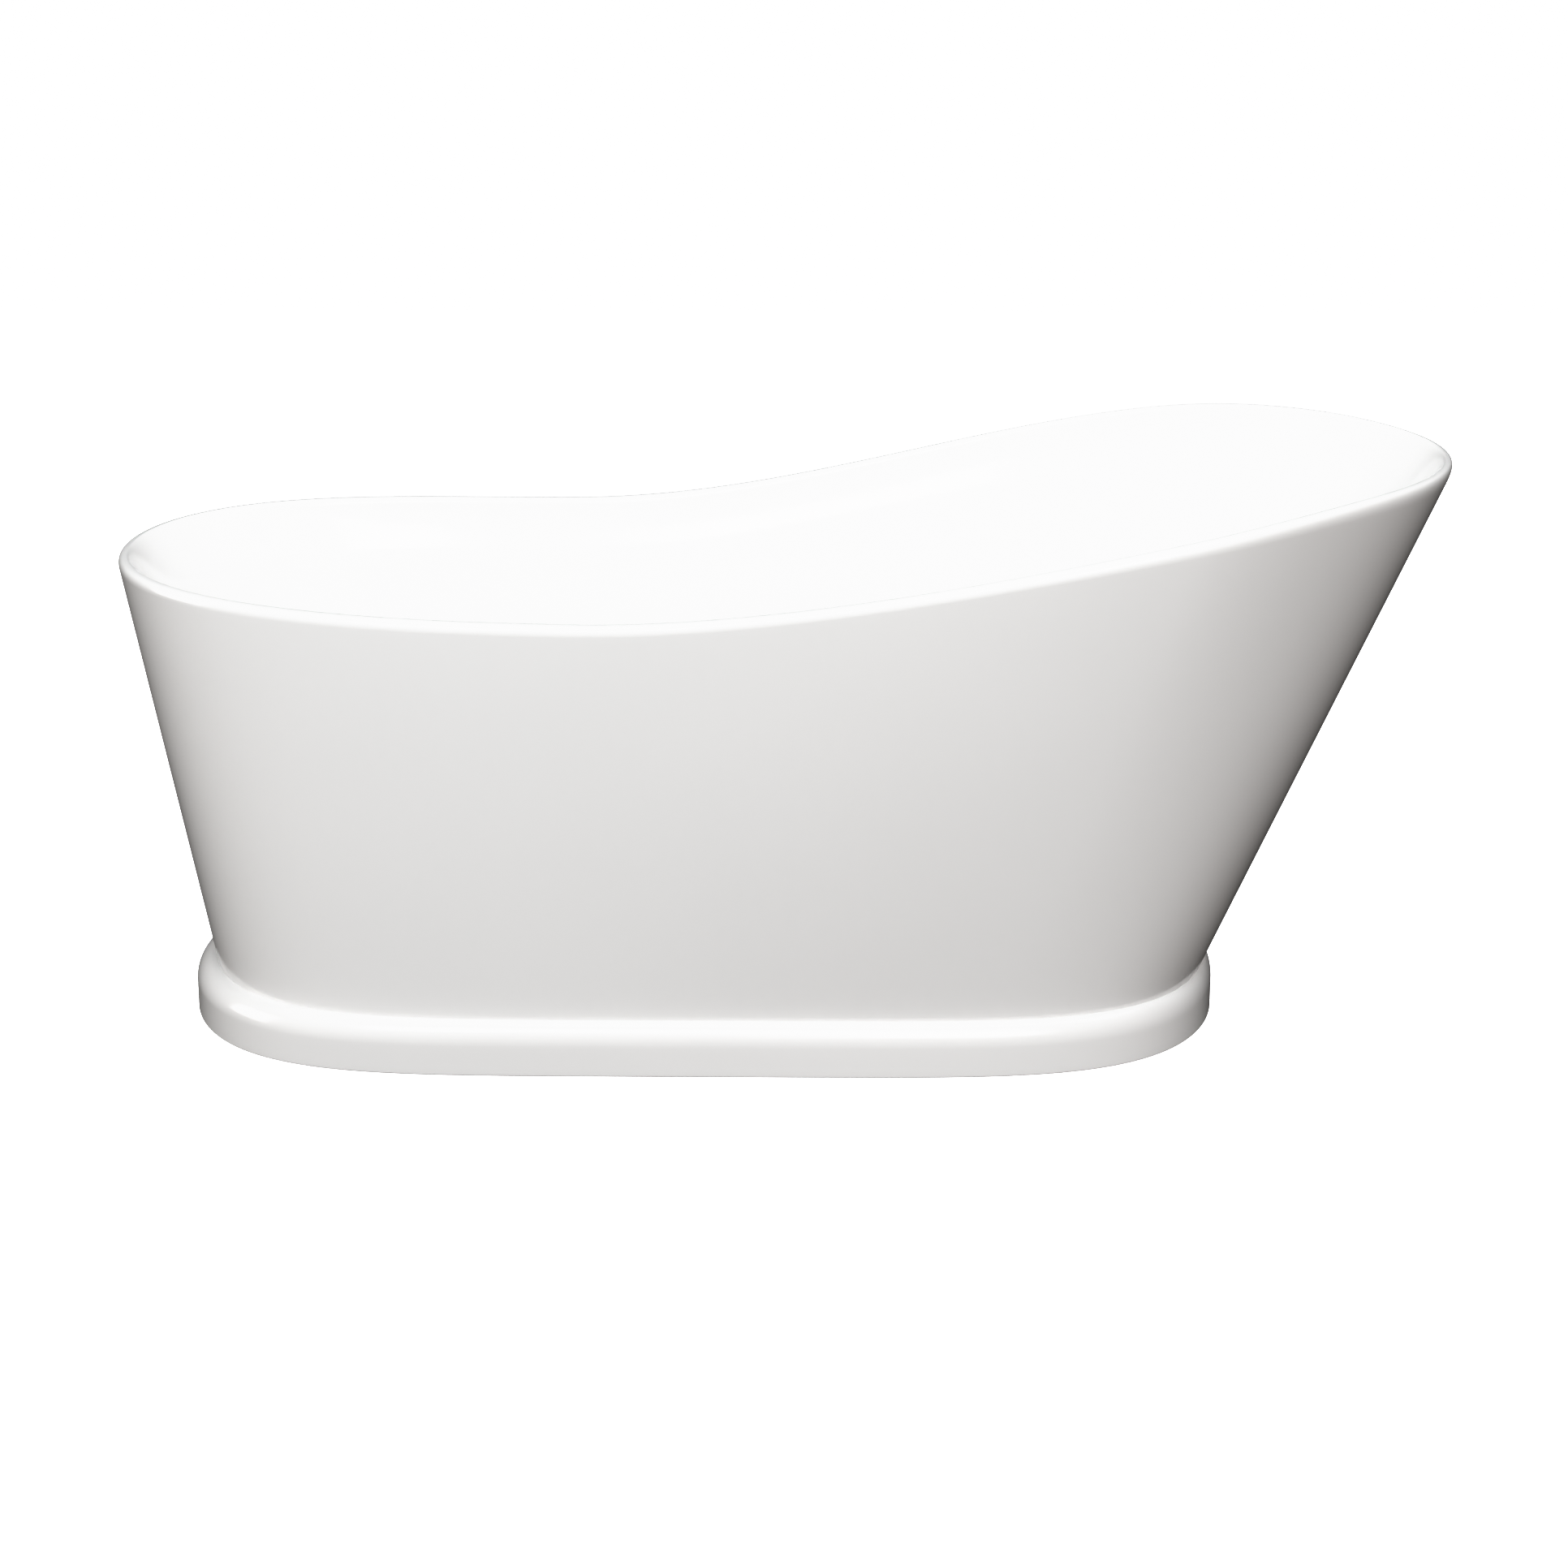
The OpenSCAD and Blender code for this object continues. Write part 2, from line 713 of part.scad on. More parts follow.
module overflow_sleeve() {
  color("lightgray") at_overflow() {
    translate([seat_out, 0, 0]) rotate([0, 90, 0]) pipe(24, 15, 1.5);
    translate([-elbow_low - 1, 0, 0]) rotate([0, 90, 0]) pipe(17, 15, elbow_low + 2 + seat_out);
  }
}

module overflow_cover() {
  lugs = 3;
  skin = 2;
  stand_off = seat_out + 1.5;
  color("lightgray") at_overflow() {
    for (a = [0:lugs - 1]) rotate([360 * a / lugs, 0, 0])
      translate([stand_off, -2, 16.5]) cube([5, 4, 5]);
    translate([stand_off + 4.5, 0, 0]) rotate([0, 90, 0]) rotate_extrude()
      polygon([[0, 0], [overflow_cover_r, 0], [overflow_cover_r, skin], [overflow_cover_r - 2, skin + 1.5],
        [0, skin + 2.5]]);
  }
}

tub_shell();
outer_skirt();
plinth();
base_board();
frame_rail_front();
frame_rail_back();
bearer_drain();
bearer_middle();
bearer_head();
board_screws();
foot_pad_1();
foot_pad_2();
foot_pad_3();
foot_pad_4();
foot_stud_1();
foot_stud_2();
foot_stud_3();
foot_stud_4();
foot_nuts();
plinth_blocks();
skirt_brackets();
bracket_screws();
drain_flange();
plug_cartridge();
plug_stem();
plug_seal();
plug_cap();
drain_gasket();
waste_shoe();
waste_tube();
waste_tee();
tailpiece();
slip_nuts();
overflow_elbow();
overflow_tube();
overflow_gasket();
overflow_sleeve();
overflow_cover();
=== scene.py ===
"""Freestanding single-slipper bathtub.

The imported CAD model, with smooth shells, turned fittings and materials in place of the plain ones, in a
plain white studio."""

import json
import math

import bpy
import numpy as np
from mathutils import Matrix, Vector


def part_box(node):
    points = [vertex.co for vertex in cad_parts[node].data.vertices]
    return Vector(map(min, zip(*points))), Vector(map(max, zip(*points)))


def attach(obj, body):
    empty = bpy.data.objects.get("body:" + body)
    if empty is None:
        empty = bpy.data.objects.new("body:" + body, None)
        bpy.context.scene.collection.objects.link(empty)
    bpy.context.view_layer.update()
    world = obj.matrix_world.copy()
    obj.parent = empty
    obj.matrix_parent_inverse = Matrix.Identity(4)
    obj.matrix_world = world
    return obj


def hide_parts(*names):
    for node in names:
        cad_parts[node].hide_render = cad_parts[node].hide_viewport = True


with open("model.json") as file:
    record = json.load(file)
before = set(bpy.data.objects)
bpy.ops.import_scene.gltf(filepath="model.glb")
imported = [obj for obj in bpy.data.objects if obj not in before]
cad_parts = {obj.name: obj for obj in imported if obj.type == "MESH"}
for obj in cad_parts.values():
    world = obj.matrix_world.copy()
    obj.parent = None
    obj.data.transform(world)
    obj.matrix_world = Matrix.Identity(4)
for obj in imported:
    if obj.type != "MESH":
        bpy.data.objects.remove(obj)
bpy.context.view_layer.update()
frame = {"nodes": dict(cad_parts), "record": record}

# ---- Sizes, in metres ----

RIM_LOW, RIM_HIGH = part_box("tub_shell")
PLINTH_LOW, PLINTH_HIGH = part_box("plinth")
HALF_LENGTH = (RIM_HIGH.x - RIM_LOW.x) / 2
HIGH_RIM = RIM_HIGH.z
PLINTH_TOP = PLINTH_HIGH.z
PLINTH_HALF_LENGTH = (PLINTH_HIGH.x - PLINTH_LOW.x) / 2
PLINTH_CENTRE = (PLINTH_HIGH.x + PLINTH_LOW.x) / 2
PLINTH_HALF_WIDTH = PLINTH_HIGH.y

# The rim: its half width and height at the drain end (low) and at the backrest (high). It widens and
# climbs between the two X values of WIDEN and CLIMB, and a higher fullness makes its end squarer.
LOW_HALF_WIDTH = 0.300
HIGH_HALF_WIDTH = 0.3985
WIDEN = (-0.358, 0.655)
TAPER = 0.038
TAPER_FROM = 0.500
FULLNESS_LOW = 4.5
FULLNESS_HIGH = 2.7
LOW_RIM = 0.6035
CLIMB = (-0.267, 0.772)
END_RISE = 0.012

# The skirt's foot, where it stands on the plinth, and the plinth's own shape.
FOOT_HALF_LENGTH = 0.6485
FOOT_HALF_WIDTH = 0.257
FOOT_CENTRE = -0.097
FOOT_FULLNESS = 5.4
PLINTH_SIDE = 0.040
PLINTH_FLANGE = 0.010
PLINTH_EDGE = 0.003
PLINTH_UNDERCUT = 0.007

# The rolled lip, the soft shoulder under it, and the basin inside. LIP_ROUND is how far down the skirt
# the lip's rounding starts, and LIP_ROUND_HIGH is the same at the backrest.
LIP_ROUND = 0.014
LIP_ROUND_HIGH = 0.025
LIP_STEPS = 14
LIP_CREST = 0.013
LIP_WIDTH = 0.022
LIP_INNER = 0.010
LIP_UNDER = 0.008
WALL = 0.005
SHOULDER_DROP = 0.070
SHOULDER_IN = 0.036
SHOULDER_IN_LOW = 0.028
SHOULDER_IN_HIGH = 0.020
SOFT_FROM = 0.75
SOFT_TO = 0.035
# The wall's profile is a Bezier curve. These are the shares of its drop and of its run that its two
# control points have: the run grows from the drain end (low) to the backrest (high).
WALL_DROP = (0.5, 1.0)
WALL_RUN_LOW = (0.12, 0.32)
WALL_RUN_HIGH = (0.32, 0.65)
FLOOR_HEIGHT = 0.150
FLOOR_HALF_LENGTH = 0.455
FLOOR_HALF_WIDTH = 0.150
FLOOR_CENTRE = -0.095
FLOOR_FULLNESS = 3.5

# The drain's flat seat and hole, and the overflow's hole at its share of the way down the wall.
SEAT_R = 0.040
HOLE_R = 0.025
HOLE_EDGE = 0.0008
OVERFLOW_U = 0.15
OVERFLOW_HOLE_R = 0.0165
OVERFLOW_REACH = 0.04

# Light on the sensor and the tone it shows as: straight up to the first pair, then a soft shoulder.
TONE_RANGE = 3.0
SHOULDER_TONES = [
    (0.80, 0.80), (0.90, 0.893), (0.97, 0.938), (1.05, 0.960), (1.20, 0.970), (1.70, 0.978),
    (2.20, 0.986),
]

COLUMNS = 320
TURNS = np.linspace(0.0, 2 * math.pi, COLUMNS, endpoint=False)
COS = np.cos(TURNS)
SIN = np.sin(TURNS)

gasket_low, gasket_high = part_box("drain_gasket")
DRAIN = Vector(((gasket_low.x + gasket_high.x) / 2, 0.0, gasket_high.z + WALL))


# ---- Curves that give the shells their shape ----


def ease(u):
    v = np.clip(u, 0.0, 1.0)
    return v * v * (3 - 2 * v)


def mix(a, b, u):
    return a + (b - a) * u


def ring(half_length, half_width, centre, fullness, z):
    """One closed ring of points. fullness above 2 makes its corners squarer."""
    bulge = np.sqrt(np.clip(1 - np.abs(COS) ** fullness, 0, None))
    x = centre + half_length * COS
    y = half_width * np.sign(SIN) * bulge
    return np.stack([x, y, np.broadcast_to(z, x.shape)], axis=1)


def rim_ring(inset, drop):
    """The rim's crest line, moved in by inset and down by drop. Both may differ from turn to turn."""
    x = HALF_LENGTH * COS
    width = mix(LOW_HALF_WIDTH, HIGH_HALF_WIDTH, ease((x - WIDEN[0]) / (WIDEN[1] - WIDEN[0])))
    width = width - TAPER * ease((x - TAPER_FROM) / (HALF_LENGTH - TAPER_FROM))
    height = mix(LOW_RIM, HIGH_RIM, ease((x - CLIMB[0]) / (CLIMB[1] - CLIMB[0])))
    height = height + END_RISE * ease((CLIMB[0] - x) / (HALF_LENGTH + CLIMB[0]))
    fullness = np.where(COS < 0, FULLNESS_LOW, FULLNESS_HIGH)
    return ring(HALF_LENGTH - inset, width - inset, 0.0, fullness, height - drop)


def foot_ring(inset, z):
    return ring(FOOT_HALF_LENGTH - inset, FOOT_HALF_WIDTH - inset, FOOT_CENTRE, FOOT_FULLNESS, z)


def plinth_ring(inset, z):
    return ring(PLINTH_HALF_LENGTH - inset, PLINTH_HALF_WIDTH - inset, PLINTH_CENTRE, FOOT_FULLNESS, z)


def floor_ring(drop):
    return ring(FLOOR_HALF_LENGTH, FLOOR_HALF_WIDTH, FLOOR_CENTRE, FLOOR_FULLNESS, FLOOR_HEIGHT - drop)


def drain_ring(radius, drop):
    return np.stack([DRAIN.x + radius * COS, radius * SIN, np.full(COLUMNS, DRAIN.z - drop)], axis=1)


def shoulder_inset():
    """How far the shoulder lies in from the rim: furthest at both ends."""
    extra = np.where(COS < 0, SHOULDER_IN_LOW, SHOULDER_IN_HIGH)
    return SHOULDER_IN + extra * np.abs(COS) ** 6


def slope_ring(u, back=0.0):
    """From the lip's inner edge (u 0) down to the soft shoulder (u 1). It is straight at the ends and
    hollow along the sides."""
    hollow = mix(1.6, 1.0, ease(2 * COS**2 - 0.6))
    inset = mix(LIP_WIDTH, shoulder_inset(), u**hollow) - back
    return rim_ring(inset, mix(LIP_INNER, SHOULDER_DROP, u))


def bezier(p1, p2, u):
    """A cubic Bezier curve from 0 to 1 with the control values p1 and p2."""
    return 3 * (1 - u) ** 2 * u * p1 + 3 * (1 - u) * u * u * p2 + u**3


def bezier_slope(p1, p2, u):
    return 3 * (1 - u) ** 2 * p1 + 6 * (1 - u) * u * (p2 - p1) + 3 * u * u * (1 - p2)


def wall_runs():
    lean = ease((COS + 0.2) / 1.2)
    return [mix(low, high, lean) for low, high in zip(WALL_RUN_LOW, WALL_RUN_HIGH)]


def wall_ring(u, back=0.0):
    """From the shoulder (u 0) to the floor's edge (u 1), or the same ring on the shell's back."""
    top, low = rim_ring(shoulder_inset(), SHOULDER_DROP), floor_ring(0.0)
    run_1, run_2 = wall_runs()
    across, down = bezier(run_1, run_2, u), bezier(*WALL_DROP, u)
    points = top + (low - top) * np.stack([across, across, np.full(COLUMNS, down)], axis=1)
    out = top[:, :2] - low[:, :2]
    run = np.linalg.norm(out, axis=1)
    inward = run * bezier_slope(run_1, run_2, u)
    drop = (top[:, 2] - low[:, 2]) * bezier_slope(*WALL_DROP, u)
    length = np.hypot(inward, drop)
    points[:, :2] += out / run[:, None] * (back * drop / length)[:, None]
    points[:, 2] -= back * inward / length
    return points


def corner(start, tip, end, steps):
    """Rings that round off the corner at tip, from start to end."""
    return [
        (1 - u) ** 2 * start + 2 * (1 - u) * u * tip + u * u * end
        for u in np.linspace(0, 1, steps + 1)
    ]


def skirt_tip():
    return rim_ring(0.0, 0.0)


def skirt_ring(u, inset=0.0):
    """The skirt's straight side, from the plinth (u 0) to the rim's outer edge (u 1)."""
    return mix(foot_ring(inset, PLINTH_TOP), rim_ring(inset, 0.0), u)


def skirt_end():
    """How far up the straight side the rounded lip begins, as a share of each line's length."""
    length = np.linalg.norm(skirt_tip() - foot_ring(0.0, PLINTH_TOP), axis=1)
    lip = mix(LIP_ROUND, LIP_ROUND_HIGH, ease((COS - 0.2) / 0.8))
    return (1 - lip / length)[:, None]


# ---- Meshes ----


def ring_normals(rings):
    """Smooth normals of a stack of rings, pointing out of the solid."""
    p = np.stack(rings)
    along = np.roll(p, -1, axis=1) - np.roll(p, 1, axis=1)
    up = np.empty_like(p)
    up[1:-1] = p[2:] - p[:-2]
    up[0], up[-1] = p[1] - p[0], p[-1] - p[-2]
    n = np.cross(along, up)
    return n / np.maximum(np.linalg.norm(n, axis=2, keepdims=True), 1e-12)


def rings_object(name, rings, normals, materials, second_from=None, skip=None):
    """A tube of quads through closed rings, with given normals. Faces from the ring second_from on take
    the second material, and faces for which skip(centre) is true are left out."""
    rows = len(rings)
    points = np.concatenate(rings)
    j, i = np.meshgrid(np.arange(rows - 1), np.arange(COLUMNS), indexing="ij")
    k = (i + 1) % COLUMNS
    here, above = j * COLUMNS, (j + 1) * COLUMNS
    quads = np.stack([here + i, here + k, above + k, above + i], axis=-1).reshape(-1, 4)
    level = j.reshape(-1)
    if skip is not None:
        keep = ~skip(points[quads].mean(axis=1))
        quads, level = quads[keep], level[keep]
    mesh = bpy.data.meshes.new(name)
    mesh.from_pydata(points.tolist(), [], quads.tolist())
    mesh.polygons.foreach_set("use_smooth", [True] * len(mesh.polygons))
    for m in materials:
        mesh.materials.append(m)
    if second_from is not None:
        mesh.polygons.foreach_set("material_index", (level >= second_from).astype(np.int32))
    mesh.normals_split_custom_set_from_vertices(np.concatenate(normals).tolist())
    return add_object(name, mesh)


def add_object(name, mesh):
    piece = bpy.data.objects.new(name, mesh)
    bpy.context.scene.collection.objects.link(piece)
    return piece


def stand_for(piece, body, slot, *nodes):
    """piece rides on the body and replaces the CAD nodes, which it hides. slot is not used."""
    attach(piece, body)
    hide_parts(*nodes)


def lathe(name, profile, material, place, steps=96):
    """A turned solid. profile is a closed list of (radius, height), drawn with the solid on its left."""
    verts, faces = [], []
    for i in range(steps):
        a = 2 * math.pi * i / steps
        verts += [place @ Vector((r * math.cos(a), r * math.sin(a), z)) for r, z in profile]
    n = len(profile)
    for i in range(steps):
        for j in range(n):
            a, b = i * n + j, i * n + (j + 1) % n
            c, d = (i + 1) % steps * n + (j + 1) % n, (i + 1) % steps * n + j
            faces.append((a, d, c, b))
    mesh = bpy.data.meshes.new(name)
    mesh.from_pydata(verts, [], faces)
    mesh.polygons.foreach_set("use_smooth", [True] * len(mesh.polygons))
    mesh.materials.append(material)
    return add_object(name, mesh)


def rounded(profile, radius, steps=4):
    """The closed profile with each corner rounded off by up to radius."""
    out, n = [], len(profile)
    for k in range(n):
        a, p, b = Vector(profile[k - 1]), Vector(profile[k]), Vector(profile[(k + 1) % n])
        if p.x < 1e-6:  # a point on the axis stays sharp
            out.append(tuple(p))
            continue
        r = min(radius, (a - p).length * 0.45, (b - p).length * 0.45)
        start, end = p + (a - p).normalized() * r, p + (b - p).normalized() * r
        for s in range(steps + 1):
            u = s / steps
            q = start * (1 - u) ** 2 + p * (2 * u * (1 - u)) + end * u * u
            out.append(tuple(q))
    return out


# ---- Materials ----


def new_material(name, color, roughness, **sockets):
    """A Principled material. Other sockets are given by name, with _ for each space."""
    m = bpy.data.materials.new(name)
    m.use_nodes = True
    shader = m.node_tree.nodes["Principled BSDF"]
    shader.inputs["Base Color"].default_value = (*color, 1.0)
    shader.inputs["Roughness"].default_value = roughness
    for key, value in sockets.items():
        shader.inputs[key.replace("_", " ")].default_value = value
    return m


def add_node(m, kind, **inputs):
    node = m.node_tree.nodes.new(kind)
    for key, value in inputs.items():
        socket = node.inputs[key.replace("_", " ")]
        if isinstance(value, bpy.types.NodeSocket):
            m.node_tree.links.new(value, socket)
        else:
            socket.default_value = value
    return node


def object_coords(m, stretch=(1, 1, 1)):
    coords = add_node(m, "ShaderNodeTexCoord").outputs["Object"]
    mapping = add_node(m, "ShaderNodeMapping", Vector=coords)
    mapping.inputs["Scale"].default_value = stretch
    return mapping.outputs["Vector"]


def noise(m, scale, detail=2.0, stretch=(1, 1, 1), distortion=0.0):
    vector = object_coords(m, stretch)
    node = add_node(
        m, "ShaderNodeTexNoise", Vector=vector, Scale=scale, Detail=detail, Distortion=distortion
    )
    return node.outputs["Fac"]


def cells(m, scale, output="Distance"):
    return add_node(m, "ShaderNodeTexVoronoi", Vector=object_coords(m), Scale=scale).outputs[output]


def ramp(m, value, *stops):
    """A colour ramp over value. Each stop is (position, grey level or colour)."""
    node = add_node(m, "ShaderNodeValToRGB", Fac=value)
    elements = node.color_ramp.elements
    while len(elements) < len(stops):
        elements.new(0.5)
    for element, (position, tone) in zip(elements, stops):
        element.position = position
        element.color = (*tone, 1.0) if isinstance(tone, tuple) else (tone, tone, tone, 1.0)
    return node.outputs["Color"]


def surface(m, color=None, roughness=None, bumps=()):
    """Links colour, roughness and (height, strength, distance) bumps to the material's shader."""
    shader = m.node_tree.nodes["Principled BSDF"]
    if color is not None:
        m.node_tree.links.new(color, shader.inputs["Base Color"])
    if roughness is not None:
        m.node_tree.links.new(roughness, shader.inputs["Roughness"])
    normal = None
    for height, strength, distance in bumps:
        bump = add_node(m, "ShaderNodeBump", Height=height, Strength=strength, Distance=distance)
        if normal is not None:
            m.node_tree.links.new(normal, bump.inputs["Normal"])
        normal = bump.outputs["Normal"]
    if normal is not None:
        m.node_tree.links.new(normal, shader.inputs["Normal"])
    return m


def acrylic():
    """Glossy sanitary acrylic, with the faint unevenness that vacuum forming leaves in it."""
    m = new_material(
        "acrylic", (0.84, 0.84, 0.835), 0.21,
        IOR=1.49, Coat_Weight=0.6, Coat_Roughness=0.11, Coat_IOR=1.49,
    )
    tint = ramp(m, noise(m, 2.2, 3), (0.35, (0.834, 0.834, 0.830)), (0.65, (0.848, 0.847, 0.843)))
    # Above about 0.27 the render's denoiser draws hard-edged patches, so the sheen stays below that.
    sheen = ramp(m, noise(m, 9, 4), (0.3, 0.18), (0.7, 0.24))
    waves, skin = noise(m, 9, 2), noise(m, 420, 2)
    return surface(m, tint, sheen, [(waves, 0.02, 0.002), (skin, 0.02, 0.0002)])


def laminate():
    """The glass-fibre backing on the hidden side of the acrylic."""
    m = new_material("laminate", (0.70, 0.68, 0.58), 0.55, IOR=1.5)
    strands = noise(m, 60, 6, (1, 5, 2), 1.5)
    tint = ramp(m, strands, (0.3, (0.60, 0.57, 0.46)), (0.7, (0.80, 0.78, 0.69)))
    sheen = ramp(m, strands, (0.3, 0.4), (0.7, 0.65))
    return surface(m, tint, sheen, [(strands, 0.6, 0.002), (cells(m, 90), 0.3, 0.001)])


def chrome():
    m = new_material("chrome", (0.86, 0.87, 0.88), 0.06, Metallic=1.0)
    smear = noise(m, 40, 5)
    tint = ramp(m, smear, (0.3, 0.83), (0.7, 0.89))
    sheen = ramp(m, smear, (0.35, 0.035), (0.75, 0.11))
    return surface(m, tint, sheen, [(noise(m, 900, 2, (1, 6, 1)), 0.02, 0.0001)])


def brass():
    m = new_material("brass", (0.72, 0.56, 0.28), 0.28, Metallic=1.0)
    rings = noise(m, 60, 4, (1, 1, 40))
    tint = ramp(m, rings, (0.3, (0.60, 0.45, 0.20)), (0.7, (0.78, 0.62, 0.34)))
    sheen = ramp(m, rings, (0.3, 0.2), (0.7, 0.38))
    return surface(m, tint, sheen, [(rings, 0.3, 0.0003)])


def rubber():
    m = new_material("rubber", (0.03, 0.03, 0.032), 0.7, IOR=1.5)
    dust = noise(m, 120, 6)
    tint = ramp(m, dust, (0.4, 0.022), (0.8, 0.06))
    sheen = ramp(m, dust, (0.3, 0.6), (0.7, 0.85))
    return surface(m, tint, sheen, [(noise(m, 1500, 3), 0.3, 0.0002)])


def moulded(name, low, high, roughness):
    """Satin moulded plastic with a fine pebbled skin and faint flow marks."""
    m = new_material(name, high, roughness, IOR=1.5)
    flow = noise(m, 14, 4, (1, 3, 1), 0.6)
    tint = ramp(m, flow, (0.3, low), (0.7, high))
    sheen = ramp(m, noise(m, 60, 3), (0.3, roughness - 0.08), (0.7, roughness + 0.1))
    return surface(m, tint, sheen, [(cells(m, 900), 0.15, 0.0002)])


def plated(name, low, high, grain):
    """Zinc on steel, with spangles of different brightness."""
    m = new_material(name, high, 0.4, Metallic=1.0)
    spangle = add_node(m, "ShaderNodeRGBToBW", Color=cells(m, grain, "Color")).outputs["Val"]
    tint = ramp(m, spangle, (0.1, low), (0.9, high))
    sheen = ramp(m, spangle, (0.0, 0.3), (1.0, 0.5))
    return surface(m, tint, sheen, [(noise(m, 300, 4), 0.15, 0.0004)])


def wood(name, low, high, grain):
    """Wood with its grain along X."""
    m = new_material(name, high, 0.6, IOR=1.45)
    streaks = noise(m, grain, 8, (1, 14, 14), 0.8)
    pores = noise(m, 260, 4, (1, 18, 18))
    tint = ramp(m, streaks, (0.25, low), (0.75, high))
    sheen = ramp(m, streaks, (0.3, 0.5), (0.7, 0.75))
    return surface(m, tint, sheen, [(streaks, 0.25, 0.001), (pores, 0.3, 0.0005)])


def floor_paint():
    """Matt paint that glows, so that it always shows white."""
    m = new_material(
        "studio_floor", (0.40, 0.40, 0.40), 0.8, Emission_Color=(1, 1, 1, 1), Emission_Strength=3.0
    )
    tint = ramp(m, noise(m, 0.8, 3), (0.3, 0.39), (0.7, 0.41))
    return surface(m, tint, None, [(noise(m, 300, 3), 0.05, 0.0005)])


# ---- Shells ----


def outside_rings():
    """The visible side of skirt, lip and basin in one run, so that their normals agree at every seam."""
    top = skirt_end()
    side = [mix(foot_ring(0.0, PLINTH_TOP), skirt_tip(), top * u) for u in np.linspace(0, 1, 33)]
    lip = corner(side[-1], skirt_tip(), rim_ring(LIP_CREST, 0.0), LIP_STEPS)[1:]
    crest, start, after = rim_ring(LIP_CREST, 0.0), slope_ring(0.0), slope_ring(0.02)
    lean = (start - after) / (start[:, 2] - after[:, 2])[:, None]
    tip = start + lean * (crest[:, 2] - start[:, 2])[:, None]
    inner = corner(crest, tip, start, LIP_STEPS)[1:]
    slope = [slope_ring(u) for u in np.linspace(0, SOFT_FROM, 11)[1:]]
    soft = corner(slope_ring(SOFT_FROM), slope_ring(1.0), wall_ring(SOFT_TO), 12)[1:]
    wall = [wall_ring(u) for u in np.linspace(SOFT_TO, 1, 55)[1:]]
    seat = drain_ring(SEAT_R, 0.0)
    fall = [mix(floor_ring(0.0), seat, u) for u in np.linspace(0, 1, 15)[1:]]
    hole = [drain_ring(r, 0.0) for r in (mix(SEAT_R, HOLE_R, 0.5), HOLE_R + HOLE_EDGE)]
    return side, lip + inner + slope + soft + wall + fall + hole


def back_rings():
    """The hidden side of the basin, from the drain hole up to the lip's underside."""
    hole = [drain_ring(HOLE_R, HOLE_EDGE), drain_ring(HOLE_R, WALL)]
    fall = [mix(floor_ring(WALL), drain_ring(SEAT_R, WALL), u) for u in np.linspace(1, 0, 6)]
    wall = [wall_ring(u, WALL) for u in np.linspace(1, 0, 29)[1:]]
    slope = [slope_ring(u, WALL) for u in np.linspace(1, 0, 6)[1:]]
    under = [rim_ring(inset, LIP_UNDER) for inset in (LIP_WIDTH - 2 * WALL, WALL + 0.003)]
    seam = [skirt_ring(skirt_end(), WALL), skirt_ring(skirt_end())]
    return hole + fall + wall + slope + under + seam


def near_overflow(centres):
    """True for the faces inside the overflow hole in the drain end wall."""
    off = centres - wall_ring(OVERFLOW_U)[np.argmin(COS)]
    across = np.hypot(off[:, 1], off[:, 2])
    return (across < OVERFLOW_HOLE_R) & (np.abs(off[:, 0]) < OVERFLOW_REACH)


def build_shells(white, backing):
    side, rest = outside_rings()
    normals = ring_normals(side + rest)
    back = back_rings()
    basin = rings_object(
        "basin",
        [side[-1]] + rest + back,
        [normals[len(side) - 1]] + list(normals[len(side):]) + list(ring_normals(back)),
        [white, backing],
        second_from=len(rest) + 1,
        skip=near_overflow,
    )
    stand_for(basin, "tub", "acrylic", "tub_shell")

    lining = [skirt_ring(skirt_end() * u, WALL) for u in np.linspace(1, 0, 13)] + [side[0]]
    skirt = rings_object(
        "skirt",
        side + lining,
        list(normals[: len(side)]) + list(ring_normals(lining)),
        [white, backing],
        second_from=len(side),
    )
    stand_for(skirt, "tub", "acrylic", "outer_skirt")


def build_plinth(white, backing):
    """The plinth's upright side, its rounded ledge and the flange that the skirt stands on."""
    foot, edge = foot_ring(0.0, 0.0), plinth_ring(0.0, 0.0)

    def ledge(angle, low, high, top):
        """One ring of the quarter round, from the plinth's side (angle 0) in and up to the skirt."""
        level = mix(low, high, 1 - math.cos(angle))
        level[:, 2] = mix(PLINTH_SIDE, top, math.sin(angle))
        return level

    sole = plinth_ring(PLINTH_UNDERCUT, 0.0)
    bottom = corner(sole, edge, plinth_ring(0.0, PLINTH_EDGE), 6)
    side_levels = np.linspace(PLINTH_EDGE + 0.003, PLINTH_SIDE - 0.004, 6)
    side = bottom + [plinth_ring(0.0, z) for z in side_levels]
    top = [ledge(a, edge, foot, PLINTH_TOP) for a in np.linspace(0, math.pi / 2, 19)]
    flange = [foot_ring(PLINTH_FLANGE, PLINTH_TOP)]
    under_foot, under_edge = foot_ring(WALL, 0.0), plinth_ring(WALL, 0.0)
    back = [foot_ring(PLINTH_FLANGE, PLINTH_TOP - WALL)]
    back += [ledge(a, under_edge, under_foot, PLINTH_TOP - WALL) for a in np.linspace(math.pi / 2, 0, 9)]
    back += [under_edge, sole]
    front = side + top + flange
    plinth = rings_object(
        "plinth_cover",
        front + back,
        list(ring_normals(front)) + list(ring_normals(back)),
        [white, backing],
        second_from=len(front),
    )
    stand_for(plinth, "tub", "acrylic", "plinth")


# ---- Fittings ----


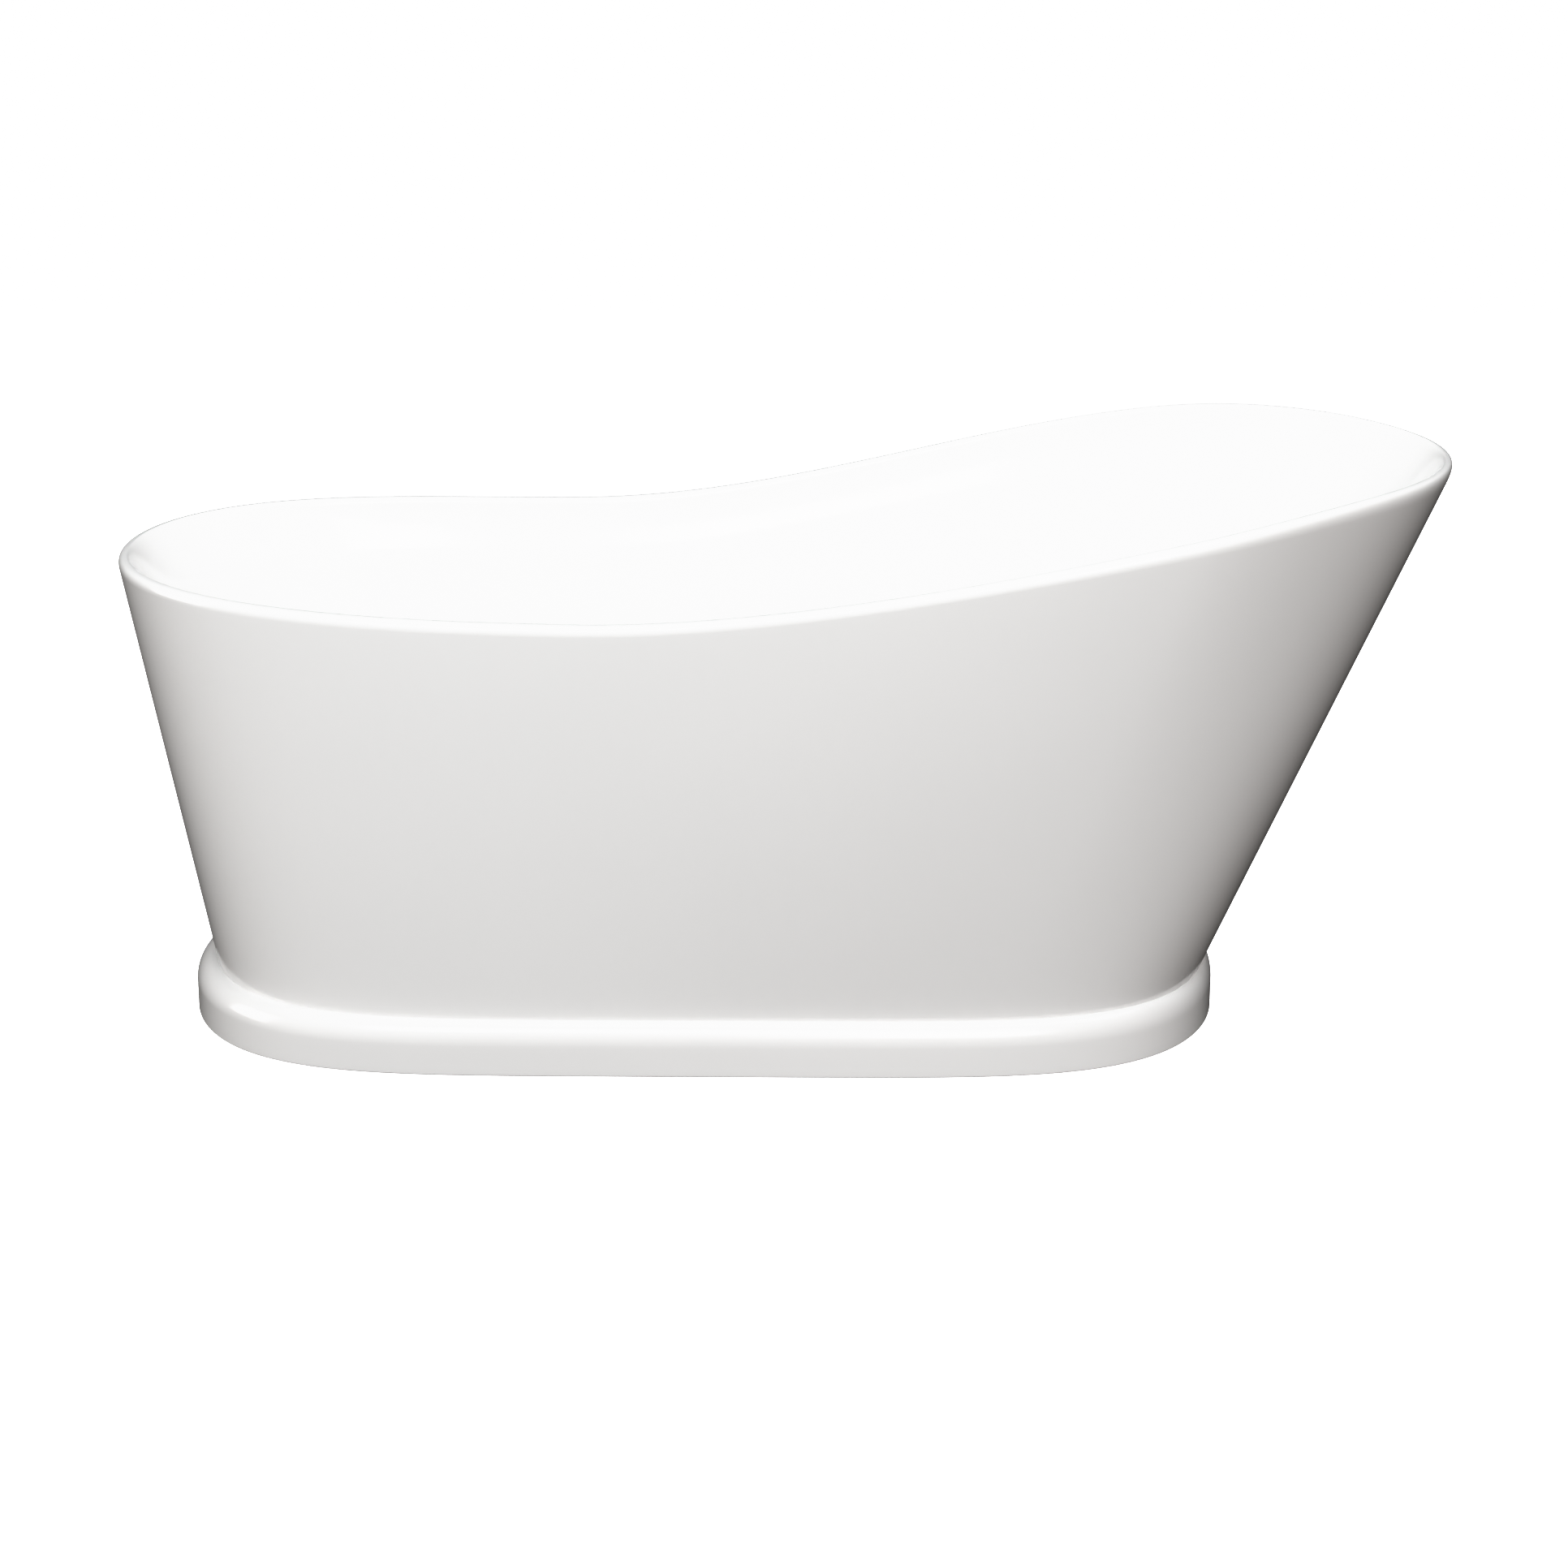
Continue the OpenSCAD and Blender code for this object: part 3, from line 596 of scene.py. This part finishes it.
def build_drain(metal, seal):
    place = Matrix.Translation(DRAIN)
    flange = lathe(
        "waste_flange",
        rounded(
            [
                (0.020, -0.030), (0.0235, -0.030), (0.0235, -0.0002), (0.036, -0.0002),
                (0.036, 0.0008), (0.0335, 0.0025), (0.024, 0.0025), (0.0205, 0.0005),
            ],
            0.0008,
        ),
        metal,
        place,
    )
    stand_for(flange, "tub", "chrome", "drain_flange")
    hub = lathe(
        "waste_hub",
        rounded([(0.008, -0.018), (0.011, -0.018), (0.011, -0.006), (0.008, -0.006)], 0.0008),
        metal,
        place,
        48,
    )
    hub.parent = flange
    hub.matrix_parent_inverse = flange.matrix_world.inverted()

    build_plug(metal, seal, place)


def build_plug(metal, seal, place):
    """The plug's domed cap and the washer under it."""
    cap_low, cap_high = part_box("plug_cap")
    base, top = cap_low.z - DRAIN.z, cap_high.z - DRAIN.z
    radius = (cap_high.x - cap_low.x) / 2
    arc, dome_radius, dome_height = math.radians(58), 0.985 * radius, 1.9 * (top - base - 0.0014)
    dome = [
        (dome_radius * math.sin(a) / math.sin(arc), top - dome_height * (1 - math.cos(a)))
        for a in np.linspace(arc, 0, 12)
    ]
    rim = [(0.0, base), (radius - 0.001, base), (radius, base + 0.0006), (radius, base + 0.0013)]
    cap = lathe("plug_top", rim + dome, metal, place)
    stand_for(cap, "plug", "chrome", "plug_cap")

    washer = lathe(
        "plug_washer",
        rounded([(0.012, 0.0029), (0.0262, 0.0029), (0.0262, 0.005), (0.012, 0.005)], 0.0006),
        seal,
        place,
    )
    stand_for(washer, "plug", "rubber", "plug_seal")


def overflow_place():
    """The overflow's own frame on the wall: Z into the basin, along the wall's normal."""
    index = int(np.argmin(COS))
    near = [wall_ring(u)[index] for u in (OVERFLOW_U - 0.01, OVERFLOW_U, OVERFLOW_U + 0.01)]
    down = Vector(near[2] - near[0]).normalized()
    across = Vector((0, 1, 0))
    out = across.cross(down).normalized()
    if out.x < 0:
        out = -out
    return Matrix.Translation(Vector(near[1])) @ Matrix((down, across, out)).transposed().to_4x4()


def build_overflow(metal):
    place = overflow_place()
    cover_low, cover_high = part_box("overflow_cover")
    radius = (cover_high.y - cover_low.y) / 2
    profile = [
        (0.0, 0.0085), (radius - 0.003, 0.0085), (radius - 0.003, 0.0078), (radius - 0.0012, 0.0074),
        (radius, 0.0084), (radius, 0.0096), (radius - 0.0012, 0.0110), (radius - 0.006, 0.0119),
        (radius * 0.5, 0.0126), (0.0, 0.0128),
    ]
    cover = lathe("overflow_face", profile, metal, place)
    stand_for(cover, "tub", "chrome", "overflow_cover")
    sleeve = lathe(
        "overflow_seat",
        rounded(
            [
                (0.015, -0.009), (0.017, -0.009), (0.017, 0.0018), (0.024, 0.0018), (0.024, 0.0034),
                (0.015, 0.0034),
            ],
            0.0005,
        ),
        metal,
        place,
    )
    stand_for(sleeve, "tub", "chrome", "overflow_sleeve")
    for turn in range(3):
        build_post(turn, metal, place, cover)


def build_post(turn, metal, place, cover):
    """One of the three posts that hold the overflow's cover off its seat."""
    post = lathe(
        "overflow_post_%d" % (turn + 1),
        rounded([(0.0, 0.003), (0.0022, 0.003), (0.0022, 0.009), (0.0, 0.009)], 0.0004),
        metal,
        place @ Matrix.Rotation(math.radians(120 * turn), 4, "Z") @ Matrix.Translation((0.019, 0, 0)),
        24,
    )
    post.parent = cover
    post.matrix_parent_inverse = cover.matrix_world.inverted()


def dress_nodes(looks):
    """Gives every CAD node that still shows the look of its material slot."""
    for part in frame["record"]["subparts"]:
        node = frame["nodes"][part["node"]]
        node.data.materials.clear()
        node.data.materials.append(looks[part["material_slot"]])


# ---- Studio ----


def build_camera():
    """The photo's viewpoint, as fitted to the outlines of rim, skirt and plinth."""
    data = bpy.data.cameras.new("camera")
    data.lens = 94.75
    data.sensor_width = 36.0
    camera = bpy.data.objects.new("camera", data)
    bpy.context.scene.collection.objects.link(camera)
    pitch, yaw = math.radians(19.55), math.radians(-0.69)
    camera.location = (0.062, -5.065, 2.096)
    ahead = Vector((math.sin(yaw) * math.cos(pitch), math.cos(yaw) * math.cos(pitch), -math.sin(pitch)))
    camera.rotation_mode = "QUATERNION"
    camera.rotation_quaternion = ahead.to_track_quat("-Z", "Y")
    bpy.context.scene.camera = camera


def softbox(name, at, target, size, power, color=(1, 1, 1)):
    """A rectangular light of the given size and power in watts, turned towards the target."""
    data = bpy.data.lights.new(name, "AREA")
    data.shape = "RECTANGLE"
    data.size, data.size_y = size
    data.energy = power
    data.color = color
    light = bpy.data.objects.new(name, data)
    light.location = at
    light.rotation_mode = "QUATERNION"
    light.rotation_quaternion = (Vector(target) - Vector(at)).to_track_quat("-Z", "Y")
    bpy.context.scene.collection.objects.link(light)
    return light


def build_floor(paint):
    """A pale floor that shows white to the camera and throws no light back on the tub."""
    size, gap = 40.0, 0.0004  # the gap keeps the floor clear of the feet's undersides
    mesh = bpy.data.meshes.new("studio_floor")
    corners = [(-size, -size, -gap), (size, -size, -gap), (size, size, -gap), (-size, size, -gap)]
    mesh.from_pydata(corners, [], [(0, 1, 2, 3)])
    mesh.materials.append(paint)
    ground = add_object("studio_floor", mesh)
    ground.visible_diffuse = False
    ground.visible_glossy = False


def build_backdrop(paint):
    """A white ball around everything. Only the camera sees it."""
    radius, turns, levels = 30.0, 48, 24
    verts, faces = [], []
    for level in range(levels + 1):
        tilt = math.pi * level / levels
        out, up = radius * math.sin(tilt), radius * math.cos(tilt)
        for turn in range(turns):
            a = 2 * math.pi * turn / turns
            verts.append((out * math.cos(a), out * math.sin(a), up))
    for level in range(levels):
        for turn in range(turns):
            a, b = level * turns + turn, level * turns + (turn + 1) % turns
            faces.append((a, b, b + turns, a + turns))
    mesh = bpy.data.meshes.new("studio_backdrop")
    mesh.from_pydata(verts, [], faces)
    mesh.materials.append(paint)
    ball = add_object("studio_backdrop", mesh)
    ball.visible_diffuse = False
    ball.visible_glossy = False
    ball.visible_transmission = False
    ball.visible_shadow = False


def build_lights():
    """Large soft lights over, before, beside and behind the tub, and a nearly dark room."""
    world = bpy.data.worlds.new("studio")
    world.use_nodes = True
    background = world.node_tree.nodes["Background"]
    background.inputs["Color"].default_value = (1.0, 0.93, 0.91, 1.0)
    background.inputs["Strength"].default_value = 0.02
    bpy.context.scene.world = world
    cool, warm, mild = (0.895, 0.966, 1.0), (1.0, 0.917, 0.874), (1.0, 0.945, 0.908)
    softbox("top_softbox", (-0.1, -0.1, 3.0), (0.0, 0.0, 0.4), (3.0, 1.8), 43)
    softbox("right_high_softbox", (1.9, -0.4, 3.1), (0.3, 0.0, 0.2), (1.5, 1.5), 16)
    softbox("front_high_softbox", (-0.4, -3.8, 3.6), (-0.1, 0.0, 0.35), (4.0, 1.6), 174, cool)
    softbox("camera_softbox", (1.2, -5.0, 2.6), (0.1, 0.0, 0.35), (2.0, 1.6), 160, warm)
    softbox("left_softbox", (-4.0, -0.6, 1.2), (-0.3, 0.0, 0.35), (2.0, 2.0), 61, mild)
    # The back light gives no shine, so the far lip ends in the thin grey line that the photo shows.
    back = softbox("back_softbox", (0.0, 4.0, 0.4), (0.0, 0.0, 0.35), (4.0, 0.6), 130)
    back.visible_glossy = False


def set_tones():
    """Highlights roll off slowly, so that white acrylic stays a shade below the white of the floor."""
    view = bpy.context.scene.view_settings
    view.view_transform = "Standard"
    view.use_curve_mapping = True
    mapping = view.curve_mapping
    mapping.white_level = (TONE_RANGE, TONE_RANGE, TONE_RANGE)
    curve = mapping.curves[3]
    curve.points[0].location = (0.0, 0.0)
    curve.points[-1].location = (1.0, 1.0)
    for light, shown in SHOULDER_TONES:
        curve.points.new(light / TONE_RANGE, shown)
    for point in curve.points:
        point.handle_type = "VECTOR"
    mapping.update()


# ---- Everything together ----

build_camera()
paint = floor_paint()
build_floor(paint)
build_backdrop(paint)
build_lights()
set_tones()
white = acrylic()
backing = laminate()
metal = chrome()
black = rubber()
LOOKS = {
    "acrylic": white,
    "plywood": wood("plywood", (0.50, 0.34, 0.18), (0.72, 0.55, 0.34), 9),
    "timber": wood("timber", (0.58, 0.42, 0.24), (0.78, 0.63, 0.42), 14),
    "galvanised_steel": plated("galvanised_steel", (0.42, 0.44, 0.46), (0.66, 0.68, 0.70), 110),
    "zinc_steel": plated("zinc_steel", (0.60, 0.60, 0.58), (0.76, 0.76, 0.73), 500),
    "chrome": metal,
    "brass": brass(),
    "rubber": black,
    "waste_plastic": moulded("waste_plastic", (0.76, 0.76, 0.74), (0.84, 0.84, 0.82), 0.35),
    "pad_plastic": moulded("pad_plastic", (0.030, 0.030, 0.033), (0.050, 0.050, 0.054), 0.5),
}
dress_nodes(LOOKS)
build_shells(white, backing)
build_plinth(white, backing)
build_drain(metal, black)
build_overflow(metal)
